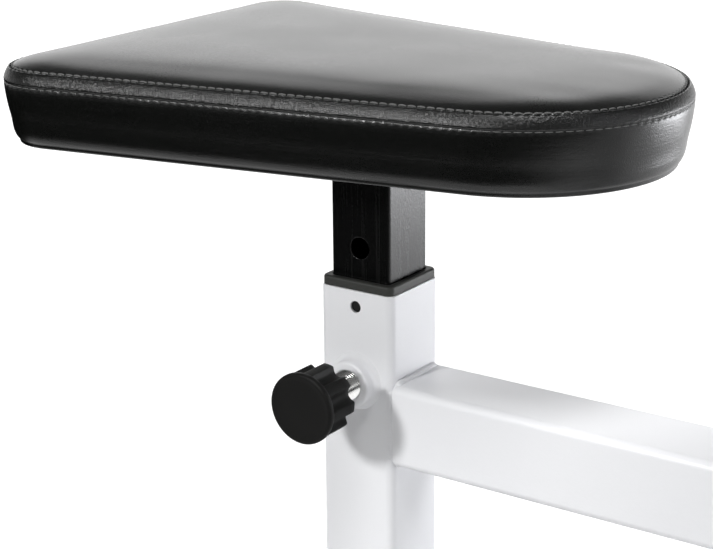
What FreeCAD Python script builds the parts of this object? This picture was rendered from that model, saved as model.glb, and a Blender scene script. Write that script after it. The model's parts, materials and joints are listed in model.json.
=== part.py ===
# Preacher curl bench: a seat on a sliding post with a pull-pin lock, and a sloping arm pad
# with a bar rest, on a frame of white square tube.
# Millimetres, +Z up, +X from the seat towards the arm pad. The origin is on the floor
# under the middle of the bench.
import FreeCAD
import Part
import Sketcher

import math
import os
import re

SIZES = [
    ("tube_size", "50", "outer side of the frame's square tube"),
    ("tube_wall", "2", "wall of the frame's tube"),
    ("tube_corner", "5", "outer corner radius of the frame's tube"),
    ("upright_top", "340", "height of the seat upright's open end"),
    ("beam_drop", "53.8", "from the upright's open end down to the beam"),
    ("front_spacing", "470", "from the seat post's axis to the front upright's"),
    ("rear_foot_length", "430", "rear cross foot, without its caps"),
    ("front_foot_length", "560", "front cross foot, without its caps"),
    ("cap_length", "55", "rubber foot cap, along the foot"),
    ("cap_wall", "3", "sides and top of a foot cap"),
    ("cap_sole", "9", "sole of a foot cap"),
    ("cap_end", "4", "end wall of a foot cap"),
    ("slip_gap", "0.2", "gap round a pushed-on or dropped-in piece"),
    ("plate_thickness", "5", "base plates, beam flange and arm pad plate"),
    ("base_plate_length", "136", "base plate of an upright, across the bench"),
    ("base_bolt_spacing", "96", "between the two bolts of a base plate"),
    ("flange_height", "148", "flange at the beam's front end"),
    ("flange_bolt_spacing", "108", "between the two bolts of the beam flange"),
    ("frame_bolt_diameter", "10", "shank of a frame bolt"),
    ("frame_head_diameter", "22", "domed head of a frame bolt"),
    ("frame_head_height", "5.5", "domed head of a frame bolt"),
    ("frame_washer_diameter", "20", "washer under a frame nut"),
    ("frame_washer_thickness", "2", "washer under a frame nut"),
    ("frame_nut_width", "17", "frame nut across its flats"),
    ("frame_nut_height", "9.5", "frame nut"),
    ("bolt_tail", "3", "bolt end that stands out of its nut"),
    ("bolt_gap", "0.5", "gap round a bolt in its hole"),
    ("thread_gap", "0.05", "gap that stands for a cut thread"),
    ("arm_height", "690", "where the arm pad's plate meets the front upright's axis"),
    ("arm_tilt", "45", "slope of the arm pad, in degrees"),
    ("arm_shift", "55", "from the front upright's axis up the slope to the pad's middle"),
    ("arm_length", "290", "arm pad along its slope"),
    ("arm_width", "600", "arm pad across the bench"),
    ("arm_corner", "44", "corner radius of the arm pad"),
    ("arm_band", "52", "side band of the arm pad"),
    ("arm_crown", "6", "rise of the arm pad's top panel"),
    ("arm_tuck", "5", "how far the arm pad's cover is drawn in at its base"),
    ("arm_board_thickness", "15", "plywood of the arm pad"),
    ("arm_plate_length", "130", "arm pad plate along the slope"),
    ("arm_plate_width", "320", "arm pad plate across the bench"),
    ("arm_bolt_spacing_x", "90", "arm pad bolts along the slope"),
    ("arm_bolt_spacing_y", "270", "arm pad bolts across the bench"),
    ("seat_lift", "89", "from the upright's open end to the seat's base"),
    ("seat_rear", "180", "from the post's axis to the seat's back edge"),
    ("seat_front", "185.5", "from the post's axis to the seat's nose"),
    ("seat_width", "273", "seat at its wide end"),
    ("seat_corner", "36", "corner radius at the seat's back"),
    ("seat_nose", "93.5", "radius of the seat's nose"),
    ("seat_band", "41.6", "side band of the seat"),
    ("seat_crown", "4.8", "rise of the seat's top panel"),
    ("seat_tuck", "5", "how far the seat's cover is drawn in at its base"),
    ("seat_board_thickness", "12", "plywood of the seat"),
    ("seat_plate_length", "170", "seat plate along the bench"),
    ("seat_plate_width", "120", "seat plate across the bench"),
    ("seat_plate_thickness", "3", "seat plate"),
    ("seat_bolt_spacing_x", "130", "seat bolts along the bench"),
    ("seat_bolt_spacing_y", "84", "seat bolts across the bench"),
    ("plate_corner", "12", "corner radius of the plates under the pads"),
    ("skin", "1.2", "vinyl of the covers"),
    ("soft_gap", "0.3", "gap round foam and boards"),
    ("cover_lap", "18", "width of the cover's turned-in edge under a pad"),
    ("pad_bolt_diameter", "8", "shank of a pad bolt"),
    ("pad_head_diameter", "14", "head of a pad bolt"),
    ("pad_head_height", "5", "head of a pad bolt"),
    ("pad_bolt_shy", "1", "pad bolt's end below the top of its board"),
    ("pad_washer_diameter", "17", "washer under a pad bolt's head"),
    ("pad_washer_thickness", "1.6", "washer under a pad bolt's head"),
    ("tee_flange_diameter", "19", "flange of a tee nut"),
    ("tee_flange_thickness", "1.5", "flange of a tee nut"),
    ("tee_barrel_diameter", "10.4", "barrel of a tee nut"),
    ("tee_barrel_length", "8", "barrel of a tee nut"),
    ("post_size", "40", "outer side of the seat post"),
    ("post_wall", "2", "wall of the seat post"),
    ("post_corner", "2.5", "outer corner radius of the seat post"),
    ("post_gap", "0.3", "running gap round the seat post"),
    ("post_tail", "22", "seat post below its lowest hole"),
    ("hole_pitch", "26.4", "between the holes of the seat post"),
    ("hole_diameter", "12.8", "holes of the seat post"),
    ("stops_each_way", "3", "holes above the pin and below it at rest"),
    ("bush_step", "0.6", "how far the bush's flange lies inside the upright's faces"),
    ("bush_flange", "5.8", "height of the bush's flange"),
    ("bush_depth", "40", "bush inside the upright"),
    ("bush_round", "1.6", "rounding of the bush's flange"),
    ("button_drop", "9.8", "from the upright's open end to the bush's snap button"),
    ("button_diameter", "6.6", "snap button of the bush"),
    ("button_shy", "1", "how far the button stays behind the upright's face"),
    ("pin_drop", "55", "from the upright's open end to the pull pin's axis"),
    ("pin_diameter", "12", "locking end of the pull pin"),
    ("pin_reach", "8", "pull pin inside the post's near face"),
    ("pin_gap", "0.3", "running gap round the pull pin"),
    ("pin_shoulder", "24", "length of the pull pin's locking end"),
    ("rod_diameter", "6", "rod of the pull pin"),
    ("boss_diameter", "28", "welded boss of the pull pin"),
    ("boss_height", "9", "welded boss of the pull pin"),
    ("boss_bead", "3.4", "weld bead round the boss"),
    ("boss_edge", "1.2", "rounded edge of the boss"),
    ("barrel_diameter", "18", "threaded barrel of the pull pin"),
    ("barrel_show", "20", "barrel between the boss and the knob"),
    ("barrel_tuck", "4", "barrel inside the knob"),
    ("barrel_cap", "5", "wall that closes the barrel round the rod"),
    ("knob_diameter", "42", "knob of the pull pin"),
    ("knob_length", "25.6", "knob of the pull pin"),
    ("knob_disc", "4", "plain front disc of the knob"),
    ("knob_edge", "1.2", "chamfer of the knob's rims"),
    ("knob_step", "0.8", "how far the knob's lobes lie inside its disc"),
    ("rod_shy", "8", "rod's end behind the knob's face"),
    ("knob_play", "2", "room round the barrel inside the knob"),
    ("flute_radius", "4.6", "round flutes behind the knob's disc"),
    ("flute_depth", "3.6", "depth of a flute"),
    ("flute_count", "8", "flutes round the knob"),
    ("flute_turn", "16", "turn of the first flute from level, in degrees"),
    ("spring_wire", "1.1", "wire of the pin's spring"),
    ("spring_turns", "4", "turns of the pin's spring"),
    ("rest_tube", "40", "outer side of the bar rest's tube"),
    ("rest_drop", "130", "from the arm pad's plate down to the bar rest's tube, axis to axis"),
    ("rest_reach", "165", "from the front upright's axis to the bar's"),
    ("rest_width", "400", "cross tube of the bar rest"),
    ("hook_thickness", "8", "plate of a bar hook"),
    ("cradle_radius", "21", "round bottom of a bar hook"),
    ("cradle_rise", "95", "from the cross tube's axis to the racked bar's"),
    ("horn_width", "12", "bar hook beside its cradle"),
    ("horn_front", "34", "front horn above the racked bar's axis"),
    ("horn_rear", "15", "rear horn above the racked bar's axis"),
    ("horn_round", "5", "rounded ends of the horns"),
    ("liner_thickness", "3", "plastic liner of a bar hook"),
    ("liner_lap", "3", "liner beside the hook's plate"),
]

# Places and lengths that follow from the sizes.
PLACES = {
    "seat_x": "0 - (front_spacing + rest_reach + cradle_radius + horn_width - seat_rear)/2",
    "front_x": "seat_x + front_spacing",
    "rest_x": "front_x + rest_reach",
    "rest_height": "arm_height - rest_drop",
    "foot_z": "cap_sole + tube_size/2",
    "foot_top": "cap_sole + tube_size",
    "upright_base": "foot_top + plate_thickness",
    "beam_z": "upright_top - beam_drop - tube_size/2",
    "pin_z": "upright_top - pin_drop",
    "inner_side": "tube_size - 2*tube_wall",
    "bush_side": "inner_side - 2*slip_gap",
    "bush_opening": "post_size + 2*post_gap",
    "frame_hole": "frame_bolt_diameter/2 + bolt_gap",
    "frame_bolt_length": "tube_size + plate_thickness + frame_washer_thickness"
                         " + frame_nut_height + bolt_tail",
    "seat_z": "upright_top + seat_lift",
    "seat_plate_z": "seat_z + skin - seat_plate_thickness",
    "post_length": "seat_plate_z - post_base",
    "post_base": "pin_z - stops_each_way*hole_pitch - post_tail",
    "seat_nose_x": "seat_front - seat_nose",
    "seat_corner_x": "seat_corner - seat_rear",
    "seat_corner_y": "seat_width/2 - seat_corner",
    "pad_hole": "pad_bolt_diameter/2 + bolt_gap",
    "barrel_length": "boss_height + barrel_show + barrel_tuck - slip_gap",
    "pin_tip": "tube_size/2 - post_size/2 + pin_reach",
    "knob_back": "boss_height + barrel_show",
}
FUNCTIONS = {"sin", "cos", "tan"}

# The top panel's rise from its seam: shares of the crown's height and of the corner radius.
CROWN_CURVE = [(0.45, 0.14), (0.8, 0.4), (1, 0.8)]
# Where a pad's side is fullest, as a share of its band, and how much of the tuck is left
# one tuck above the base.
FULL_SIDE = 0.8
TUCK_LEFT = 0.7

# Points closer than this are one point.
TOUCHING = 1e-6

# Turns that point a piece's own +Z along the bench, at the viewer's side and at the far side.
FORWARD = FreeCAD.Rotation(FreeCAD.Vector(1, 1, 1), 120)
NEAR = FreeCAD.Rotation(FreeCAD.Vector(1, 0, 0), 90)
FAR = FreeCAD.Rotation(FreeCAD.Vector(0, 0, 1), 180).multiply(NEAR)
UPRIGHT = FreeCAD.Rotation()

doc = FreeCAD.newDocument("PreacherCurlBench")
sheet = doc.addObject("Spreadsheet::Sheet", "Sizes")
for row, (alias, number, note) in enumerate(SIZES, start=1):
    sheet.set(f"A{row}", note)
    sheet.set(f"B{row}", number)
    sheet.setAlias(f"B{row}", alias)
doc.recompute()

subparts = []


def formula(text):
    """Spell out the places in a formula and point its sizes at the sheet."""
    def spell(match):
        word = match.group()
        if word in FUNCTIONS:
            return word
        if word in PLACES:
            return f"({formula(PLACES[word])})"
        return f"Sizes.{word}"
    return re.sub(r"[a-z][a-z_]*", spell, text)


def value(text):
    """The number that a formula gives now."""
    return float(sheet.evalExpression(formula(text)))


def bind(item, name, text):
    item.setExpression(name, formula(text))


def place(item, x="0", y="0", z="0", turn=UPRIGHT):
    item.Placement = FreeCAD.Placement(FreeCAD.Vector(), turn)
    for axis, text in zip("xyz", (x, y, z)):
        bind(item, f"Placement.Base.{axis}", text)


def new_body(label, x="0", y="0", z="0", turn=UPRIGHT):
    body = doc.addObject("PartDesign::Body", label)
    body.Label = label
    place(body, x, y, z, turn)
    subparts.append(body)
    return body


def new_sketch(body, plane="XY_Plane", height="0"):
    sketch = body.newObject("Sketcher::SketchObject", "Sketch")
    support = next(item for item in body.Origin.OriginFeatures if item.Role == plane)
    sketch.AttachmentSupport = (support, [""])
    sketch.MapMode = "FlatFace"
    bind(sketch, "AttachmentOffset.Base.z", height)
    return sketch


def measure(sketch, kind, spots, text):
    """Add a dimension to a sketch and bind it to a formula."""
    index = sketch.addConstraint(Sketcher.Constraint(kind, *spots, value(text)))
    bind(sketch, f"Constraints[{index}]", text)


def link(sketch, kind, *spots):
    sketch.addConstraint(Sketcher.Constraint(kind, *spots))


def at(sketch, item, spot, x, y):
    """Fix one point of a sketch."""
    measure(sketch, "DistanceX", (item, spot), x)
    measure(sketch, "DistanceY", (item, spot), y)


def vector(x, y, z="0"):
    return FreeCAD.Vector(value(x), value(y), value(z))


def arc(centre, radius, start, end):
    """Counter-clockwise arc between two angles in degrees."""
    circle = Part.Circle(centre, FreeCAD.Vector(0, 0, 1), radius)
    return Part.ArcOfCircle(circle, math.radians(start), math.radians(end))


def draw_circle(sketch, diameter, x="0", y="0"):
    disc = Part.Circle(vector(x, y), FreeCAD.Vector(0, 0, 1), value(diameter)/2)
    item = sketch.addGeometry(disc, False)
    measure(sketch, "Radius", (item,), f"({diameter})/2")
    at(sketch, item, 3, x, y)


def draw_polygon(sketch, corners):
    points = [vector(x, y) for x, y in corners]
    first = sketch.GeometryCount
    count = len(corners)
    for k in range(count):
        sketch.addGeometry(Part.LineSegment(points[k], points[(k + 1) % count]), False)
    for k, (x, y) in enumerate(corners):
        link(sketch, "Coincident", first + k, 2, first + (k + 1) % count, 1)
        at(sketch, first + k, 1, x, y)


def draw_belt(sketch, wheels):
    """Draw a belt, counter-clockwise round wheels given as (x, y, radius)."""
    count = len(wheels)
    centres = [vector(x, y) for x, y, radius in wheels]
    radii = [value(radius) for x, y, radius in wheels]
    normals = []
    for k in range(count):
        away = centres[(k + 1) % count] - centres[k]
        lean = math.acos((radii[k] - radii[(k + 1) % count])/away.Length)
        normals.append(math.atan2(away.y, away.x) - lean)
    first = sketch.GeometryCount
    for k in range(count):
        following = (k + 1) % count
        outward = FreeCAD.Vector(math.cos(normals[k]), math.sin(normals[k]), 0)
        start = centres[k] + outward*radii[k]
        end = centres[following] + outward*radii[following]
        sketch.addGeometry(Part.LineSegment(start, end), False)
        turned = math.degrees(normals[following] - normals[k]) % 360
        begin = math.degrees(normals[k])
        sketch.addGeometry(arc(centres[following], radii[following], begin, begin + turned), False)
    for k in range(count):
        line = first + 2*k
        bend = line + 1
        link(sketch, "Tangent", line, 2, bend, 1)
        link(sketch, "Tangent", bend, 2, first + (2*k + 2) % (2*count), 1)
    for k, (x, y, radius) in enumerate(wheels):
        bend = first + (2*k - 1) % (2*count)
        at(sketch, bend, 3, x, y)
        measure(sketch, "Radius", (bend,), radius)


def draw_rounded(sketch, width, height, radius, y="0"):
    """Draw a rectangle with rounded corners, its middle on the sketch's Y axis."""
    right = f"({width})/2 - ({radius})"
    top = f"({height})/2 - ({radius})"
    draw_belt(sketch, [
        (f"0 - ({right})", f"({y}) - ({top})", radius),
        (right, f"({y}) - ({top})", radius),
        (right, f"({y}) + ({top})", radius),
        (f"0 - ({right})", f"({y}) + ({top})", radius),
    ])


def feature(body, kind, sketch):
    item = body.newObject(f"PartDesign::{kind}", kind)
    item.Profile = sketch
    return item


def pad(body, sketch, length):
    bind(feature(body, "Pad", sketch), "Length", length)


def pocket(body, sketch, depth, reverse=False):
    item = feature(body, "Pocket", sketch)
    item.Reversed = reverse
    bind(item, "Length", depth)
    return item


def pocket_both_ways(body, sketch, depth):
    item = pocket(body, sketch, depth)
    item.SideType = "Symmetric"


def revolve(body, corners):
    """Turn a profile of (radius, height) corners about the body's Z axis."""
    sketch = new_sketch(body, "XZ_Plane")
    draw_polygon(sketch, corners)
    item = feature(body, "Revolution", sketch)
    item.ReferenceAxis = (sketch, ["V_Axis"])
    item.Angle = 360


def loft(body, kind, outline, levels):
    """Loft an outline through (height, inset) levels, with straight sides between them."""
    sketches = []
    for height, inset in levels:
        sketch = new_sketch(body, height=height)
        outline(sketch, inset)
        sketches.append(sketch)
    item = feature(body, kind, sketches[0])
    item.Sections = sketches[1:]
    item.Ruled = True


def round_edges(body, radius, wanted):
    """Fillet the edges of the last feature that the test picks."""
    doc.recompute()
    base = body.Tip
    names = [f"Edge{k}" for k, edge in enumerate(base.Shape.Edges, start=1) if wanted(edge)]
    item = body.newObject("PartDesign::Fillet", "Fillet")
    item.Base = (base, names)
    bind(item, "Radius", radius)


def tube(label, side, wall, corner, length, **where):
    body = new_body(label, **where)
    outer = new_sketch(body)
    draw_rounded(outer, side, side, corner)
    pad(body, outer, length)
    inner = new_sketch(body)
    draw_rounded(inner, f"{side} - 2*{wall}", f"{side} - 2*{wall}", f"{corner} - {wall}")
    pocket(body, inner, length, reverse=True)
    return body


def frame_tube(label, length, **where):
    return tube(label, "tube_size", "tube_wall", "tube_corner", length, **where)


def cross_holes(body, plane, diameter, spots, depth):
    """Holes square to the piece's length, through both of its walls."""
    sketch = new_sketch(body, plane)
    for x, y in spots:
        draw_circle(sketch, diameter, x, y)
    pocket_both_ways(body, sketch, depth)


# The frame's feet, uprights and beam.
def make_foot(name, length, x):
    foot = frame_tube(f"{name}_foot", length, x=x, y=f"{length}/2", z="foot_z", turn=NEAR)
    holes = [("0", f"{length}/2 {side} base_bolt_spacing/2") for side in "+-"]
    cross_holes(foot, "XZ_Plane", "2*frame_hole", holes, "2*tube_size")
    for side, turn, sign in (("near", NEAR, "0 - "), ("far", FAR, "")):
        make_foot_cap(f"{name}_foot_cap_{side}", x, f"{sign}({length}/2 + cap_end - cap_length)", turn)


def make_foot_cap(label, x, y, turn):
    cap = new_body(label, x=x, y=y, z="foot_z", turn=turn)
    outer = new_sketch(cap)
    draw_rounded(outer, "tube_size + 2*cap_wall", "tube_size + cap_wall + cap_sole",
                 "tube_corner + cap_wall", y="(cap_wall - cap_sole)/2")
    pad(cap, outer, "cap_length")
    socket = new_sketch(cap)
    opening = "tube_size + 2*slip_gap"
    draw_rounded(socket, opening, opening, "tube_corner + slip_gap")
    pocket(cap, socket, "cap_length - cap_end", reverse=True)


def make_base_plate(label, x):
    plate = new_body(label, x=x, z="foot_top")
    outline = new_sketch(plate)
    draw_rounded(outline, "tube_size", "base_plate_length", "tube_corner")
    pad(plate, outline, "plate_thickness")
    holes = new_sketch(plate)
    for side in ("", "0 - "):
        draw_circle(holes, "2*frame_hole", "0", f"{side}base_bolt_spacing/2")
    pocket(plate, holes, "plate_thickness", reverse=True)


def make_seat_upright():
    upright = frame_tube("seat_upright", "upright_top - upright_base", x="seat_x", z="upright_base")
    near_holes = new_sketch(upright, "XZ_Plane")
    draw_circle(near_holes, "pin_diameter + 2*pin_gap", "0", "pin_z - upright_base")
    draw_circle(near_holes, "button_diameter + 2*slip_gap", "0",
                "upright_top - button_drop - upright_base")
    pocket(upright, near_holes, "tube_size", reverse=True)


def make_front_upright():
    rear_edge = "arm_height - upright_base + tan(arm_tilt)*tube_size/2"
    front_edge = "arm_height - upright_base - tan(arm_tilt)*tube_size/2"
    upright = frame_tube("front_upright", rear_edge, x="front_x", z="upright_base")
    slope = new_sketch(upright, "XZ_Plane")
    draw_polygon(slope, [
        ("0 - tube_size/2", rear_edge),
        ("tube_size/2", front_edge),
        ("tube_size", front_edge),
        ("tube_size", f"{rear_edge} + tube_size"),
        ("0 - tube_size/2", f"{rear_edge} + tube_size"),
    ])
    pocket_both_ways(upright, slope, "2*tube_size")
    holes = [("0", f"beam_z - upright_base {side} flange_bolt_spacing/2") for side in "+-"]
    cross_holes(upright, "YZ_Plane", "2*frame_hole", holes, "2*tube_size")


def make_beam():
    frame_tube("main_beam", "front_spacing - tube_size - plate_thickness",
               x="seat_x + tube_size/2", z="beam_z", turn=FORWARD)
    flange = new_body("beam_flange", x="front_x - tube_size/2 - plate_thickness", z="beam_z",
                      turn=FORWARD)
    outline = new_sketch(flange)
    draw_rounded(outline, "tube_size", "flange_height", "tube_corner")
    pad(flange, outline, "plate_thickness")
    holes = new_sketch(flange)
    for side in ("", "0 - "):
        draw_circle(holes, "2*frame_hole", "0", f"{side}flange_bolt_spacing/2")
    pocket(flange, holes, "plate_thickness", reverse=True)


# Fasteners: one pattern piece each, and a node that holds its copies.
def pattern_body(corners):
    body = doc.addObject("PartDesign::Body", "Pattern")
    revolve(body, corners)
    return body


def bolt_pattern(head_diameter, head_height, diameter, length):
    """A bolt along +Z with the underside of its domed head at the origin."""
    return pattern_body([
        ("0", f"0 - {head_height}"),
        (f"{head_diameter}*0.3", f"0 - {head_height}"),
        (f"{head_diameter}/2", f"0 - {head_height}*0.3"),
        (f"{head_diameter}/2", "0"),
        (f"{diameter}/2", "0"),
        (f"{diameter}/2", f"{length} - {diameter}*0.1"),
        (f"{diameter}*0.4", f"{length}"),
        ("0", f"{length}"),
    ])


def ring_pattern(outer, inner, height):
    return pattern_body([
        (f"{inner}/2", "0"),
        (f"{outer}/2", "0"),
        (f"{outer}/2", height),
        (f"{inner}/2", height),
    ])


def nut_pattern(width, diameter, height):
    body = doc.addObject("Part::Prism", "NutBody")
    body.Polygon = 6
    bind(body, "Circumradius", f"{width}/2/cos(30)")
    bind(body, "Height", height)
    bore = doc.addObject("Part::Cylinder", "NutBore")
    bind(bore, "Radius", f"{diameter}/2 + thread_gap")
    bind(bore, "Height", height)
    nut = doc.addObject("Part::Cut", "Nut")
    nut.Base = body
    nut.Tool = bore
    return nut


def tee_nut_pattern():
    """A tee nut along +Z, from the open end of its barrel to the top of its flange."""
    bore = "pad_bolt_diameter/2 + thread_gap"
    return pattern_body([
        (bore, "0"),
        ("tee_barrel_diameter/2", "0"),
        ("tee_barrel_diameter/2", "tee_barrel_length"),
        ("tee_flange_diameter/2", "tee_barrel_length"),
        ("tee_flange_diameter/2", "tee_barrel_length + tee_flange_thickness"),
        (bore, "tee_barrel_length + tee_flange_thickness"),
    ])


def set_out(label, pattern, stations):
    """A node of copies of a pattern, one at each placement."""
    doc.recompute()
    copies = []
    for station in stations:
        copy = pattern.Shape.copy()
        copy.Placement = station
        copies.append(copy)
    node = doc.addObject("Part::Feature", label)
    node.Label = label
    node.Shape = Part.makeCompound(copies)
    node.Placement = FreeCAD.Placement()
    subparts.append(node)


def frame_joint_stations():
    """Where the frame's through bolts start, under their heads, and which way they point."""
    stations = []
    for x in ("seat_x", "front_x"):
        for side in ("", "0 - "):
            spot = vector(x, f"{side}base_bolt_spacing/2", "cap_sole")
            stations.append(FreeCAD.Placement(spot, UPRIGHT))
    for side in "+-":
        spot = vector("front_x + tube_size/2", "0", f"beam_z {side} flange_bolt_spacing/2")
        backward = FreeCAD.Rotation(FreeCAD.Vector(0, 1, 0), -90)
        stations.append(FreeCAD.Placement(spot, backward))
    return stations


def along(stations, distance):
    """The same stations moved along their own axes."""
    step = FreeCAD.Placement(vector("0", "0", distance), UPRIGHT)
    return [station.multiply(step) for station in stations]


def make_frame_fasteners():
    stations = frame_joint_stations()
    bolt = bolt_pattern("frame_head_diameter", "frame_head_height", "frame_bolt_diameter",
                        "frame_bolt_length")
    washer = ring_pattern("frame_washer_diameter", "(frame_bolt_diameter + 2*bolt_gap)",
                          "frame_washer_thickness")
    nut = nut_pattern("frame_nut_width", "frame_bolt_diameter", "frame_nut_height")
    set_out("frame_bolts", bolt, stations)
    set_out("frame_washers", washer, along(stations, "tube_size + plate_thickness"))
    set_out("frame_nuts", nut,
            along(stations, "tube_size + plate_thickness + frame_washer_thickness"))


# Upholstered pads: a vinyl cover over foam and a plywood board, bolted to a steel plate.
def seat_outline(sketch, inset):
    """The seat seen from above: two rear corners and a round nose, drawn in by an inset."""
    draw_belt(sketch, [
        ("seat_corner_x", "0 - (seat_corner_y)", f"seat_corner - ({inset})"),
        ("seat_nose_x", "0", f"seat_nose - ({inset})"),
        ("seat_corner_x", "seat_corner_y", f"seat_corner - ({inset})"),
    ])


def arm_outline(sketch, inset):
    """The arm pad along its slope, drawn in by an inset."""
    draw_rounded(sketch, f"arm_length - 2*({inset})", f"arm_width - 2*({inset})",
                 f"arm_corner - ({inset})")


def crown_levels(name, skin):
    """Heights and insets of a pad's side and top, one skin inside its outer face."""
    band = f"{name}_band"
    crown = f"{name}_crown"
    corner = f"{name}_corner"
    levels = [(f"{band}*{FULL_SIDE}", skin), (band, skin)]
    for rise, inset in CROWN_CURVE:
        levels.append((f"{band} + {crown}*{rise} - {skin}", f"{corner}*{inset} + {skin}"))
    return levels


def base_levels(name, skin):
    """Heights and insets of a pad's drawn-in base."""
    tuck = f"{name}_tuck"
    return [(skin, f"{tuck} + {skin}"), (f"{tuck} + {skin}", f"{tuck}*{TUCK_LEFT} + {skin}")]


def make_pad(name, outline, frame):
    cover = new_body(f"{name}_cover", **frame)
    loft(cover, "AdditiveLoft", outline, base_levels(name, "0") + crown_levels(name, "0"))
    loft(cover, "SubtractiveLoft", outline, base_levels(name, "skin") + crown_levels(name, "skin"))
    window = new_sketch(cover)
    outline(window, f"{name}_tuck + cover_lap")
    pocket(cover, window, "2*skin", reverse=True)
    board = new_body(f"{name}_board", **frame)
    edge = new_sketch(board, height="skin")
    outline(edge, f"{name}_tuck + skin + soft_gap")
    pad(board, edge, f"{name}_board_thickness")
    holes = new_sketch(board, height="skin")
    sinks = new_sketch(board, height=f"skin + {name}_board_thickness")
    for x, y in pad_bolt_spots(name):
        draw_circle(holes, "tee_barrel_diameter + 2*slip_gap", x, y)
        draw_circle(sinks, "tee_flange_diameter + 2*slip_gap", x, y)
    pocket(board, holes, f"{name}_board_thickness", reverse=True)
    pocket(board, sinks, "tee_flange_thickness + slip_gap")
    foam = new_body(f"{name}_foam", **frame)
    floor = [(f"skin + {name}_board_thickness + soft_gap", f"{name}_tuck + skin + soft_gap")]
    loft(foam, "AdditiveLoft", outline, floor + crown_levels(name, "(skin + soft_gap)"))


def pad_bolt_spots(name):
    x = f"{name}_bolt_spacing_x/2"
    y = f"{name}_bolt_spacing_y/2"
    return [(f"0 {a} {x}", f"0 {b} {y}") for a in "+-" for b in "+-"]


def make_pad_fasteners(name, frame, plate_thickness):
    """Bolts with washers under the plate, and tee nuts in the board."""
    origin = FreeCAD.Placement(vector(frame["x"], "0", frame["z"]), frame["turn"])
    stations = []
    for x, y in pad_bolt_spots(name):
        spot = FreeCAD.Placement(vector(x, y, f"skin - {plate_thickness}"), UPRIGHT)
        stations.append(origin.multiply(spot))
    length = f"(pad_washer_thickness + {plate_thickness} + {name}_board_thickness - pad_bolt_shy)"
    bolt = bolt_pattern("pad_head_diameter", "pad_head_height", "pad_bolt_diameter", length)
    washer = ring_pattern("pad_washer_diameter", "(pad_bolt_diameter + 2*bolt_gap)",
                          "pad_washer_thickness")
    under = along(stations, "0 - pad_washer_thickness")
    set_out(f"{name}_bolts", bolt, under)
    set_out(f"{name}_washers", washer, under)
    seat = f"{plate_thickness} + {name}_board_thickness - tee_flange_thickness - tee_barrel_length"
    set_out(f"{name}_tee_nuts", tee_nut_pattern(), along(stations, f"{seat} - slip_gap/2"))


def make_pad_plate(name, frame, thickness):
    plate = new_body(f"{name}_plate", **frame)
    outline = new_sketch(plate, height="skin")
    draw_rounded(outline, f"{name}_plate_length", f"{name}_plate_width", "plate_corner")
    item = feature(plate, "Pad", outline)
    item.Reversed = True
    bind(item, "Length", thickness)
    holes = new_sketch(plate, height="skin")
    for x, y in pad_bolt_spots(name):
        draw_circle(holes, "2*pad_hole", x, y)
    pocket(plate, holes, thickness)


def make_seat():
    frame = {"x": "seat_x", "z": "seat_z", "turn": UPRIGHT}
    make_pad("seat", seat_outline, frame)
    make_pad_plate("seat", frame, "seat_plate_thickness")
    make_pad_fasteners("seat", frame, "seat_plate_thickness")


def make_arm_pad():
    lean = FreeCAD.Rotation(FreeCAD.Vector(0, 1, 0), value("arm_tilt"))
    rise = "(plate_thickness - skin)"
    frame = {
        "x": f"front_x - arm_shift*cos(arm_tilt) + {rise}*sin(arm_tilt)",
        "z": f"arm_height + arm_shift*sin(arm_tilt) + {rise}*cos(arm_tilt)",
        "turn": lean,
    }
    make_pad("arm", arm_outline, frame)
    make_pad_plate("arm", frame, "plate_thickness")
    make_pad_fasteners("arm", frame, "plate_thickness")


# The seat post, its bush and the pull pin.
def make_post():
    post = tube("seat_post", "post_size", "post_wall", "post_corner", "post_length",
                x="seat_x", z="post_base")
    hole = new_sketch(post, "XZ_Plane")
    draw_circle(hole, "hole_diameter", "0", "post_tail")
    first = pocket(post, hole, "post_size", reverse=True)
    row = post.newObject("PartDesign::LinearPattern", "HoleRow")
    row.Originals = [first]
    row.Direction = (hole, ["V_Axis"])
    bind(row, "Length", "2*stops_each_way*hole_pitch")
    bind(row, "Occurrences", "2*stops_each_way + 1")
    post.Tip = row


def make_bush():
    bush = new_body("guide_bush", x="seat_x", z="upright_top")
    rim = new_sketch(bush)
    side = "tube_size - 2*bush_step"
    draw_rounded(rim, side, side, "tube_corner - bush_step")
    pad(bush, rim, "bush_flange")
    top = value("bush_flange")
    round_edges(bush, "bush_round", lambda edge: abs(edge.CenterOfMass.z - top) < TOUCHING)
    sleeve = new_sketch(bush)
    draw_rounded(sleeve, "bush_side", "bush_side", "tube_corner - tube_wall - slip_gap")
    item = feature(bush, "Pad", sleeve)
    item.Reversed = True
    bind(item, "Length", "bush_depth")
    button = new_sketch(bush, "XZ_Plane")
    draw_circle(button, "button_diameter", "0", "0 - button_drop")
    pad(bush, button, "tube_size/2 - button_shy")
    opening = new_sketch(bush)
    draw_rounded(opening, "bush_opening", "bush_opening", "post_corner + post_gap")
    pocket_both_ways(bush, opening, "4*bush_depth")


def pin_body(label):
    """A piece of the pull pin: its +Z points out of the upright's near face."""
    return new_body(label, x="seat_x", y="0 - tube_size/2", z="pin_z", turn=NEAR)


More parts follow.
